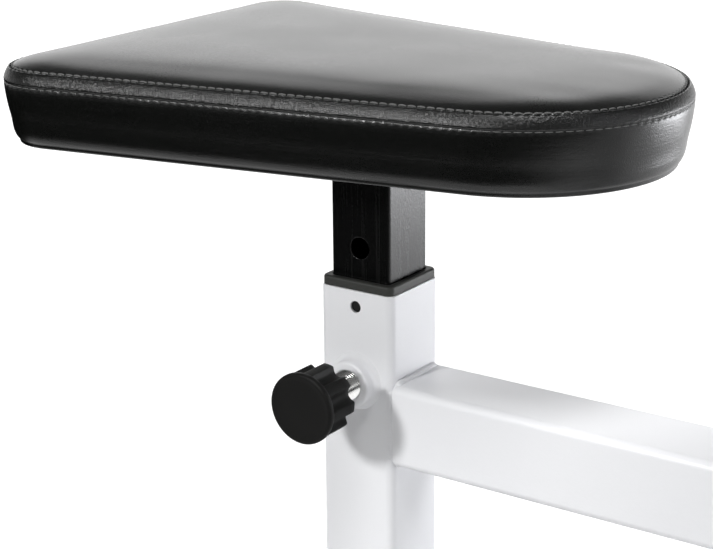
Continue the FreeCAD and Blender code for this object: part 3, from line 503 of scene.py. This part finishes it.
def cover_rings(band):
    """The cover's lines below its top panel: inset, height and whether a seam holds the line."""
    upper = band*1000
    rings = [(inset, upper + drop, True) for inset, drop in SEAM_RINGS]
    rings += [(inset, upper + drop, False) for inset, drop in SHOULDER_RINGS]
    rings += [(inset, upper + drop, True) for inset, drop in STITCH_RINGS]
    low, high = BAND_FOOT, upper + STITCH_RINGS[-1][1]
    rings += [(inset, low + share*(high - low), False) for inset, share in BAND_RINGS]
    rings += [(inset, height, True) for inset, height in BASE_RINGS]
    return [(inset*MM, height*MM, held) for inset, height, held in rings]


def sew_cover(steps, across, band, crown, stitches):
    """A top panel of squares and the rings below it, with the held points and the cover's run noted."""
    shape = bmesh.new()
    station = shape.verts.layers.int.new("station")
    held = shape.verts.layers.int.new("held")
    down = shape.verts.layers.float.new("down")
    run = shape.loops.layers.float_vector.new("cover_run")
    count = len(steps)
    along = count//2 - across
    bmesh.ops.create_grid(shape, x_segments=along, y_segments=across, size=1)
    rim = walk_rim(shape)
    xs = [point.x for point, out in steps]
    ys = [point.y for point, out in steps]
    for point in shape.verts:
        point[station] = -1
        point.co.x = (max(xs) + min(xs))/2 + point.co.x*(max(xs) - min(xs))*PANEL_START
        point.co.y = (max(ys) + min(ys))/2 + point.co.y*(max(ys) - min(ys))*PANEL_START
    for k, point in enumerate(rim):
        point[station] = k
        point.co = steps[k][0] - PANEL_INSET*steps[k][1]
    inner = [point for point in shape.verts if point[station] < 0]
    for _ in range(PANEL_ROUNDS):
        bmesh.ops.smooth_vert(shape, verts=inner, factor=0.9, use_axis_x=True, use_axis_y=True)
    tree = kdtree.KDTree(count)
    for k, (point, out) in enumerate(steps):
        tree.insert(point, k)
    tree.balance()
    for point in inner:
        spot, nearest, distance = tree.find(point.co)
        point[station] = nearest
        point[down] = min(PANEL_INSET - distance, 0)
    for point in shape.verts:
        point.co.z = band + PANEL_LIFT + crown*(1 - math.exp(point[down]/TOP_ROLL))
    edges = [edge for edge in shape.edges if edge.is_boundary]
    walked = 0
    before = (PANEL_INSET, band + PANEL_LIFT)
    for ring_inset, height, fixed in cover_rings(band):
        walked += math.dist(before, (ring_inset, height))
        before = (ring_inset, height)

        def place(k, ring_inset=ring_inset, height=height):
            point, out = steps[k]
            return point - ring_inset*out + Vector((0, 0, height))
        edges = grow_ring(shape, edges, station, place)
        for edge in edges:
            for point in edge.verts:
                point[held] = 1 if fixed else 0
                point[down] = walked
    for face in shape.faces:
        turns = [loop.vert[station] for loop in face.loops]
        closes = max(turns) - min(turns) > count/2
        for loop, turn in zip(face.loops, turns):
            passed = turn + count if closes and turn < count/2 else turn
            loop[run] = (passed*stitches/count, loop.vert[down], 0)
    closing = bmesh.ops.holes_fill(shape, edges=edges)["faces"]
    bmesh.ops.triangulate(shape, faces=closing)
    bmesh.ops.recalc_face_normals(shape, faces=shape.faces)
    return shape


def walk_rim(shape):
    """The boundary points of a grid in counter-clockwise order from the middle of its low-x side."""
    loop = [point for point in shape.verts if point.is_boundary]
    loop.sort(key=lambda point: rim_share(point.co))
    first = next(k for k, point in enumerate(loop) if point.co.x < -0.999 and abs(point.co.y) < 1e-4)
    return loop[first:] + loop[:first]


def rim_share(spot):
    """How far round a square a rim point lies."""
    x, y = spot.x, spot.y
    if y < -0.999 and x < 0.999:
        return x + 1
    if x > 0.999 and y < 0.999:
        return y + 3
    if y > 0.999 and x > -0.999:
        return 5 - x
    return 7 - y


print("rings below the seat's panel:", len(cover_rings(0.0416)))

# %% [markdown]
# ## Stuffing
# Cloth simulation fills the cover: the seams and the base are held, and pressure swells the panels between
# them. Foam gives less than air, so the swelling is evened out between neighbours and held back by a cap.

# %% Stuffing
SIM_FRAMES = 20
EVEN_OUT = 10
PRESSURE = 0.8
SWELL_CAP = 3*MM
EASE = 0.2*MM
EASE_SCALE = 28


def stuff(piece, pressure, cap):
    """Let pressure fill the cover between its held lines, then keep the result, short of a cap."""
    rest = [point.co.copy() for point in piece.data.vertices]
    held = [mark.value for mark in piece.data.attributes["held"].data]
    pins = piece.vertex_groups.new(name="held")
    pins.add([k for k, mark in enumerate(held) if mark], 1, "REPLACE")
    cloth = piece.modifiers.new("Stuffing", "CLOTH")
    cloth.settings.quality = 4
    cloth.settings.mass = 0.2
    cloth.settings.tension_stiffness = 30
    cloth.settings.compression_stiffness = 20
    cloth.settings.shear_stiffness = 12
    cloth.settings.bending_stiffness = 1.5
    cloth.settings.use_pressure = True
    cloth.settings.uniform_pressure_force = pressure
    cloth.settings.effector_weights.gravity = 0
    cloth.settings.vertex_group_mass = "held"
    cloth.point_cache.frame_end = SIM_FRAMES
    scene = bpy.context.scene
    for number in range(1, SIM_FRAMES + 1):
        scene.frame_set(number)
    stuffed = piece.evaluated_get(bpy.context.evaluated_depsgraph_get())
    moved = [point.co.copy() for point in stuffed.data.vertices]
    piece.modifiers.remove(cloth)
    scene.frame_set(1)
    shifts = [after - before for before, after in zip(rest, moved)]
    furthest = max(shift.length for shift in shifts)
    for _ in range(EVEN_OUT):
        shares = [(shift.copy(), 1) for shift in shifts]
        for edge in piece.data.edges:
            a, b = edge.vertices
            shares[a] = (shares[a][0] + shifts[b], shares[a][1] + 1)
            shares[b] = (shares[b][0] + shifts[a], shares[b][1] + 1)
        shifts = [total/number for total, number in shares]
    for point, before, shift in zip(piece.data.vertices, rest, shifts):
        if not held[point.index]:
            point.co = before + shift*cap/(cap + shift.length)
    piece.vertex_groups.clear()
    print(piece.name, "swelled by up to", round(furthest*1000, 2), "mm before the foam held it back")


def ease(piece, amount):
    """Small slow waves that foam and hands leave in a cover, in the same place each time."""
    held = [mark.value for mark in piece.data.attributes["held"].data]
    shifts = [point.normal*noise.noise(point.co*EASE_SCALE)*amount for point in piece.data.vertices]
    for point, shift in zip(piece.data.vertices, shifts):
        if not held[point.index]:
            point.co += shift


def make_pad(name, wheels, start, count, across, band, crown, stand, body):
    """Sew a cover on a pattern, stuff it, stand it in its place and stitch its seams."""
    steps, length = belt(wheels, count, start)
    stitches = round(length/STITCH_PITCH)
    piece = make_piece(name + "_cushion", sew_cover(steps, across, band, crown, stitches), "vinyl", body)
    stuff(piece, PRESSURE, SWELL_CAP)
    ease(piece, EASE)
    piece.data.transform(stand)
    smooth = piece.modifiers.new("Smooth", "SUBSURF")
    smooth.levels = 1
    smooth.render_levels = 1
    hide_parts(name + "_cover", name + "_foam")
    sew_rows(name, wheels, start, length, band, stand, body)
    return piece


# %% [markdown]
# ## Stitches
# The thread shows as a row of short bright beads on the panel's side of the top seam, and another in the
# second seam. Painted stitches would vanish at this flat angle. Hundreds of separate capsules are slow
# to build, so a row is one thread: a loop round the pattern, grown six times round the thread's own
# section. It swells over each stitch and dives through the cover between two of them.

# %% Stitch rows
STITCH_PITCH = 0.0052
STITCH_WAVE = [(-1.8, 0.45), (-0.15, 0.85), (0.1, 1.0), (0.2, 1.05), (0.25, 1.05), (0.2, 1.0), (0.05, 0.95),
               (-0.2, 0.85)]
STITCH_ROWS = [(5.6, -0.4, 20, 0.56), (0.72, -8.8, 80, 0.27)]
THREAD_SIDES = 6


def sew_rows(name, wheels, start, length, band, stand, body):
    """Two rows of stitches along a pad's seams, as one piece."""
    count = round(length/STITCH_PITCH)*len(STITCH_WAVE)
    steps, _ = belt(wheels, count, start)
    shape = bmesh.new()
    station = shape.verts.layers.int.new("station")
    for inset, drop, tilt, size in STITCH_ROWS:
        def place(k, side, inset=inset, drop=drop, tilt=tilt, size=size):
            point, out = steps[k]
            rise, thick = (size*share for share in STITCH_WAVE[k % len(STITCH_WAVE)])
            face = Vector((0, 0, 1)).lerp(out, tilt/90).normalized()
            across = face.cross(Vector((-out.y, out.x, 0)))
            turn = math.tau*side/THREAD_SIDES
            lift = (rise + thick*math.sin(turn))*face + thick*math.cos(turn)*across
            return point - inset*MM*out + lift*MM + Vector((0, 0, band + drop*MM))
        rope(shape, station, count, THREAD_SIDES, place)
    bmesh.ops.remove_doubles(shape, verts=shape.verts, dist=1e-6)
    bmesh.ops.recalc_face_normals(shape, faces=shape.faces)
    bmesh.ops.transform(shape, matrix=stand, verts=shape.verts)
    print(name, "stitches:", 2*count//len(STITCH_WAVE))
    return make_piece(name + "_stitches", shape, "thread", body, slot="vinyl")


# %% The two pads
SEAT_BASE = (SEAT_X, 0, 0.429)
ARM_BASE = (0.189796, 0, 0.731578)
ARM_SLOPE = math.radians(45)

seat_stand = Matrix.Translation(SEAT_BASE)
arm_stand = Matrix.Translation(ARM_BASE) @ Matrix.Rotation(ARM_SLOPE, 4, "Y")
seat_pad = make_pad("seat", SEAT_WHEELS, start=4, count=256, across=62, band=0.0416, crown=0.0048,
                    stand=seat_stand, body="seat")
arm_pad = make_pad("arm", ARM_WHEELS, start=6, count=360, across=122, band=0.052, crown=0.006,
                   stand=arm_stand, body="frame")
print("pads:", seat_pad.name, arm_pad.name)

# %% [markdown]
# ## Staples
# Under a pad the vinyl is pulled over the board's edge and shot fast with wire staples, one about every
# two centimetres and none quite straight. One staple is a bevelled bar, and the same few faces are
# copied round the pattern.

# %% Staples under the pads
STAPLE_PITCH = 0.021
STAPLE_INSET = 0.0165
STAPLE_STRAY = 0.002
STAPLE_LEAN = 0.35
STAPLE_DEPTH = 2.95*MM
STAPLE_SIZE = (0.0104, 0.0013, 0.0009)
STAPLE_EDGE = 0.0003


def shoot_staples(name, wheels, start, stand, body):
    """A ring of slightly crooked staples under a pad's edge."""
    random.seed(7)
    length = belt(wheels, 8, start)[1]
    steps, _ = belt(wheels, round(length/STAPLE_PITCH), start)
    shape = bmesh.new()
    for point, out in steps:
        lean = math.atan2(out.y, out.x) + math.pi/2 + random.uniform(-STAPLE_LEAN, STAPLE_LEAN)
        inset = STAPLE_INSET + random.uniform(-STAPLE_STRAY, STAPLE_STRAY)
        spot = point - inset*out - Vector((0, 0, STAPLE_DEPTH))
        place = Matrix.Translation(spot) @ Matrix.Rotation(lean, 4, "Z") @ Matrix.Diagonal((*STAPLE_SIZE, 1))
        bmesh.ops.create_cube(shape, size=1, matrix=place)
    bmesh.ops.bevel(shape, geom=shape.edges[:], offset=STAPLE_EDGE, segments=1, profile=0.5, affect="EDGES",
                    material=-1)
    bmesh.ops.transform(shape, matrix=stand, verts=shape.verts)
    print(name, "staples:", len(steps))
    return make_piece(name + "_staples", shape, "zinc_steel", body)


shoot_staples("seat", SEAT_WHEELS, 4, seat_stand, "seat")
shoot_staples("arm", ARM_WHEELS, 6, arm_stand, "frame")

# %% [markdown]
# ## The pull pin
# The knob is moulded with eight round flutes behind a plain front disc. Boolean cuts would leave knife
# edges, so the knob grows from a circle ring by ring, and a flute's depth pulls each point in. The
# barrel is a real thread: one zigzag profile is spun once round while it climbs by one pitch.

# %% Knob
PIN_STAND = Matrix(((1, 0, 0, SEAT_X), (0, 0, -1, -0.025), (0, 1, 0, 0.285), (0, 0, 0, 1)))
KNOB_POINTS = 192
KNOB_BORE = 10.2
KNOB_BACK = 29.3
FLUTES = 8
FLUTE_TURN = math.radians(16)
KNOB_RINGS = [
    (29.2, 17.6, 0.8), (29.05, 18.6, 0.9), (29.3, 19.5, 1), (30.1, 20.1, 1), (34, 20.2, 1), (40, 20.2, 1),
    (46, 20.2, 1), (49.6, 20.2, 1), (50.3, 20.2, 0.93), (50.6, 20.3, 0.5), (50.75, 20.5, 0), (51.1, 20.85, 0),
    (51.6, 21, 0), (53.2, 21, 0), (53.9, 20.85, 0), (54.35, 20.4, 0), (54.6, 19.7, 0), (54.6, 18.9, 0),
    (54.45, 18.3, 0), (54.35, 16, 0), (54.4, 9, 0), (54.45, 3, 0),
]


def flute(angle, radius):
    """How far a flute pulls a knob's point in."""
    gap = math.tau/FLUTES
    off = (angle - FLUTE_TURN + gap/2) % gap - gap/2
    bore, sunk = 4.6, 3.7
    middle = radius + bore - sunk
    swing = middle*math.sin(off)
    if abs(swing) >= bore:
        return 0
    return max(radius - middle*math.cos(off) + math.sqrt(bore*bore - swing*swing), 0)


knob = bmesh.new()
station = knob.verts.layers.int.new("station")
bmesh.ops.create_circle(knob, segments=KNOB_POINTS, radius=1)
for k, point in enumerate(knob.verts):
    angle = math.tau*k/KNOB_POINTS
    point[station] = k
    point.co = Vector((math.cos(angle)*KNOB_BORE, math.sin(angle)*KNOB_BORE, KNOB_BACK))*MM
rim = list(knob.edges)
for height, radius, depth in KNOB_RINGS:
    def place(k, height=height, radius=radius, depth=depth):
        angle = math.tau*k/KNOB_POINTS
        reach = radius - depth*flute(angle, radius)
        return Vector((math.cos(angle)*reach, math.sin(angle)*reach, height))*MM
    rim = grow_ring(knob, rim, station, place)
bmesh.ops.holes_fill(knob, edges=rim)
bmesh.ops.recalc_face_normals(knob, faces=knob.faces)
bmesh.ops.transform(knob, matrix=PIN_STAND, verts=knob.verts)
knob_piece = make_piece("knob", knob, "knob_plastic", "pull_pin", sharp=50)
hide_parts("pin_knob")
print("knob points:", len(knob_piece.data.vertices))

# %% Threaded barrel and welded boss
PITCH = 1.9
THREAD_START = 5.5
THREAD_TURNS = 14
TOOTH = [(7.8, 0), (7.85, 0.2), (8.9, 0.85), (9.0, 1.0), (8.9, 1.15)]


def spin_round(profile, steps, climb=0.0):
    """Spin a profile of (radius, height) once round the pin's axis, with a climb in millimetres."""
    shape = bmesh.new()
    points = [shape.verts.new((radius*MM, 0, height*MM)) for radius, height in profile]
    edges = [shape.edges.new(pair) for pair in zip(points, points[1:])]
    bmesh.ops.spin(shape, geom=points + edges, cent=(0, 0, 0), axis=(0, 0, 1), dvec=(0, 0, climb*MM/steps),
                   angle=math.tau, steps=steps, use_merge=not climb)
    bmesh.ops.remove_doubles(shape, verts=shape.verts, dist=2e-6)
    bmesh.ops.holes_fill(shape, edges=[edge for edge in shape.edges if edge.is_boundary])
    bmesh.ops.recalc_face_normals(shape, faces=shape.faces)
    bmesh.ops.transform(shape, matrix=PIN_STAND, verts=shape.verts)
    return shape


thread = [(radius, THREAD_START + k*PITCH + rise) for k in range(THREAD_TURNS) for radius, rise in TOOTH]
barrel = make_piece("threaded_barrel", spin_round(thread, 72, PITCH), "bright_thread", "frame", sharp=60)
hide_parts("pin_barrel")

boss_line = [(9.05, 0.2), (9.05, 8.4), (9.4, 8.85), (10, 9), (12.6, 9), (13.3, 8.8), (13.8, 8.3), (14, 7.6),
             (14, 4.6), (14.15, 3.6), (14.6, 2.5), (15.4, 1.4), (16.4, 0.6), (17.4, 0.1), (17.6, -0.2)]
boss = make_piece("welded_boss", spin_round(boss_line, 96), "white_paint", "frame", sharp=60)
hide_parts("pin_boss")
print("thread of", PITCH, "mm pitch; boss", round(boss.dimensions.x*1000, 1), "mm wide")

# %% [markdown]
# ## Welds
# Every tube ends in a weld, a rope of metal that froze in small waves, and the paint only softens it. The
# solids leave the welds out. A fillet by bevel would be too clean, so each weld is a loop round the
# tube's end that is grown round its own section, thicker at the crest of each wave. Where the beam meets
# the upright there are two loops: a fillet above and below, and a flush fill in the upright's round edge.

# %% Weld beads
WAVE = 0.0026
WELD_SIDES = 8
RIPPLE = (0.9, 1.05, 1.0)
LUMPS = 0.2
LUMP_SCALE = 150


def weld(shape, station, stand, length, width, corner, thick):
    """A bead round a tube's end, in the plane that a matrix stands for."""
    corners = ((-1, -1), (1, -1), (1, 1), (-1, 1))
    wheels = [(x*(length/2 - corner), y*(width/2 - corner), corner) for x, y in corners]
    count = round(belt(wheels, 8, 0)[1]/WAVE)*len(RIPPLE)
    steps, _ = belt(wheels, count, 0)

    def place(k, side):
        point, out = steps[k]
        lump = LUMPS*noise.noise(stand @ point*LUMP_SCALE)
        swell = thick*RIPPLE[k % len(RIPPLE)]*(1 + lump)
        turn = math.tau*side/WELD_SIDES
        return stand @ (point + swell*(math.cos(turn)*out + Vector((0, 0, math.sin(turn)))))
    rope(shape, station, count, WELD_SIDES, place)


def weld_all(name, finish, body, joints):
    """One piece from all the beads of a body: a matrix and sizes in millimetres for each."""
    shape = bmesh.new()
    station = shape.verts.layers.int.new("station")
    for stand, length, width, corner, thick in joints:
        weld(shape, station, stand, length*MM, width*MM, corner*MM, thick*MM)
    bmesh.ops.remove_doubles(shape, verts=shape.verts, dist=1e-6)
    bmesh.ops.recalc_face_normals(shape, faces=shape.faces)
    print(name, "loops:", len(joints))
    return make_piece(name, shape, finish, body)


def upright_at(x, z):
    """The plane of an upright tube's end."""
    return Matrix.Translation((x, 0, z))


def beam_at(x, z):
    """The plane of a lying tube's end."""
    return Matrix.Translation((x, 0, z)) @ Matrix.Rotation(math.pi/2, 4, "Y")


FRONT_X = 0.226
ARM_PLATE_Z = 0.690
beam_low, beam_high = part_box("main_beam")
rest_low, rest_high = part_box("bar_rest_arm")
beam_z = (beam_low[2] + beam_high[2])/2
rest_z = (rest_low[2] + rest_high[2])/2
slope = Matrix.Translation((FRONT_X, 0, ARM_PLATE_Z)) @ Matrix.Rotation(ARM_SLOPE, 4, "Y")
frame_joints = [
    (upright_at(SEAT_X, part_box("seat_upright")[0][2]), 50, 50, 5, 3.2),
    (upright_at(FRONT_X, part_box("front_upright")[0][2]), 50, 50, 5, 3.2),
    (beam_at(beam_low[0] + 0.7*MM, beam_z), 50, 40, 3, 2.5),
    (beam_at(beam_low[0] - 2.2*MM, beam_z), 44, 44.4, 3, 2.6),
    (beam_at(beam_high[0], beam_z), 50, 50, 5, 3),
    (beam_at(rest_low[0], rest_z), 40, 36, 3, 2.6),
    (beam_at(rest_high[0], rest_z), 40, 36, 3, 2.6),
    (slope, 70.7, 50, 6, 3),
]
weld_all("frame_welds", "white_paint", "frame", frame_joints)
post_end = upright_at(SEAT_X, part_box("seat_plate")[0][2])
weld_all("post_weld", "black_paint", "seat", [(post_end, 40, 40, 2.6, 1.6)])

# %% [markdown]
# ## Floor
# The photograph is a cut-out on white. A wide pale floor with a rolled-up edge fills every view. It is lit
# like any floor, and some white of its own is added for rays from the camera and for reflections. The
# vinyl's side shows a dark room in front of the bench, so black cards that only reflections can see lie
# round its front.

# %% Floor and black cards
SHEET_SQUARES = 40
ROLL_FROM = 6
ROLL_RISE = 0.03
NEAR = 0.8
FAR = 3
CARDS = [("front_card", (-4, -4), (3, -0.47)), ("left_card", (-5, -0.47), (-0.9, 1.4)),
         ("right_card", (0.8, -0.47), (3, -0.12))]
CARD_HEIGHT = 0.004


def lay(name, low, high, height, material):
    """A sheet of paper on the floor, rolled up towards its edges where it is very wide."""
    shape = bmesh.new()
    middle = Matrix.Translation(((low[0] + high[0])/2, (low[1] + high[1])/2, height))
    spread = Matrix.Diagonal((high[0] - low[0], high[1] - low[1], 1, 1))
    bmesh.ops.create_grid(shape, x_segments=SHEET_SQUARES, y_segments=SHEET_SQUARES, size=0.5,
                          matrix=middle @ spread)
    for point in shape.verts:
        point.co.z += ROLL_RISE*max(abs(point.co.x) - ROLL_FROM, abs(point.co.y) - ROLL_FROM, 0)**2
    mesh = bpy.data.meshes.new(name)
    shape.to_mesh(mesh)
    shape.free()
    mesh.shade_smooth()
    mesh.materials.append(material)
    sheet = bpy.data.objects.new(name, mesh)
    bpy.context.scene.collection.objects.link(sheet)
    return sheet


def paper(name, dark, light, own, far):
    """Matt paper with some white of its own, near and far, where the camera or a reflection sees it."""
    material = bpy.data.materials.new(name)
    material.use_nodes = True
    material.node_tree.nodes.clear()
    flow = Flow(material.node_tree)
    tooth = flow.grain(flow.places(), 90, 3)
    seen = flow.node("LightPath", {}, "Is Camera Ray")
    for ray in ("Is Glossy Ray", "Is Transmission Ray"):
        seen = flow.sum("MAXIMUM", seen, flow.node("LightPath", {}, ray))
    lit = flow.node("BsdfDiffuse", {"Color": tooth.tint(dark, light)})
    away = flow.node("VectorMath", {0: flow.places()}, "Value", operation="LENGTH")
    glow = flow.node("Emission", {"Color": (1, 1, 1, 1), "Strength": seen*away.fit(NEAR, FAR, own, far)})
    flow.node("OutputMaterial", {"Surface": flow.node("AddShader", {0: lit, 1: glow})})
    return material


white = paper("floor_paper", (0.45, 0.45, 0.45), (0.47, 0.47, 0.47), own=0.72, far=1)
floor = lay("floor", (-14, -14), (14, 14), 0, white)
black = paper("card_paper", (0.002, 0.002, 0.002), (0.004, 0.004, 0.004), own=0, far=0)
for name, low, high in CARDS:
    card = lay(name, low, high, CARD_HEIGHT, black)
    for ray in ("camera", "diffuse", "shadow", "transmission"):
        setattr(card, "visible_" + ray, False)
print("floor", round(floor.dimensions.x), "m wide,", len(CARDS), "black cards on it")

# %% [markdown]
# ## Light
# The vinyl's top shows a bright wall behind the bench, so a large soft lamp stands there. The knob's shadow
# on the upright tells that a small lamp stood at the front left, not very high. The rest is even light from
# above and from the right.

# %% World and lamps
world = bpy.data.worlds.new("Tent")
world.use_nodes = True
bpy.context.scene.world = world
world.node_tree.nodes.clear()
flow = Flow(world.node_tree)
height = flow.node("SeparateXYZ", {0: flow.node("TexCoord", {}, "Generated")}, "Z")
tent = height.fit(0.3, 0.8, 0.24, 0.12)
flow.node("OutputWorld", {"Surface": flow.node("Background", {"Color": (1, 1, 1, 1), "Strength": tent})})


def lamp(name, spot, target, size, power, tone=(1, 1, 1)):
    """A rectangle of light that the camera doesn't see, turned towards a target."""
    data = bpy.data.lights.new(name, "AREA")
    data.shape = "RECTANGLE"
    data.size, data.size_y = size
    data.energy = power
    data.color = tone
    item = bpy.data.objects.new(name, data)
    item.location = spot
    item.rotation_euler = (Vector(target) - Vector(spot)).to_track_quat("-Z", "Y").to_euler()
    item.visible_camera = False
    bpy.context.scene.collection.objects.link(item)


lamp("key", (0.7, -1.5, 4.2), (-0.1, 0, 0.4), size=(1.35, 1.35), power=122)
lamp("front_left", (-0.6, -1.68, 1.13), (-0.244, 0, 0.29), size=(0.2, 0.2), power=20.5)
lamp("right", (3.0, 0.4, 1.35), (-0.1, 0, 0.35), size=(0.9, 0.9), power=50, tone=(0.97, 0.97, 1.0))
lamp("low_right", (0.75, 1.25, 0.18), (-0.244, 0, 0.33), size=(0.9, 0.35), power=12, tone=(0.96, 0.97, 1.0))
lamp("back_wall", (-1.75, 2.3, 1.25), (-0.2, 0, 0.47), size=(3.2, 1.6), power=21.5)
bpy.context.scene.view_settings.view_transform = "Standard"
print("lamps:", "key, front left, right, low right, back wall")
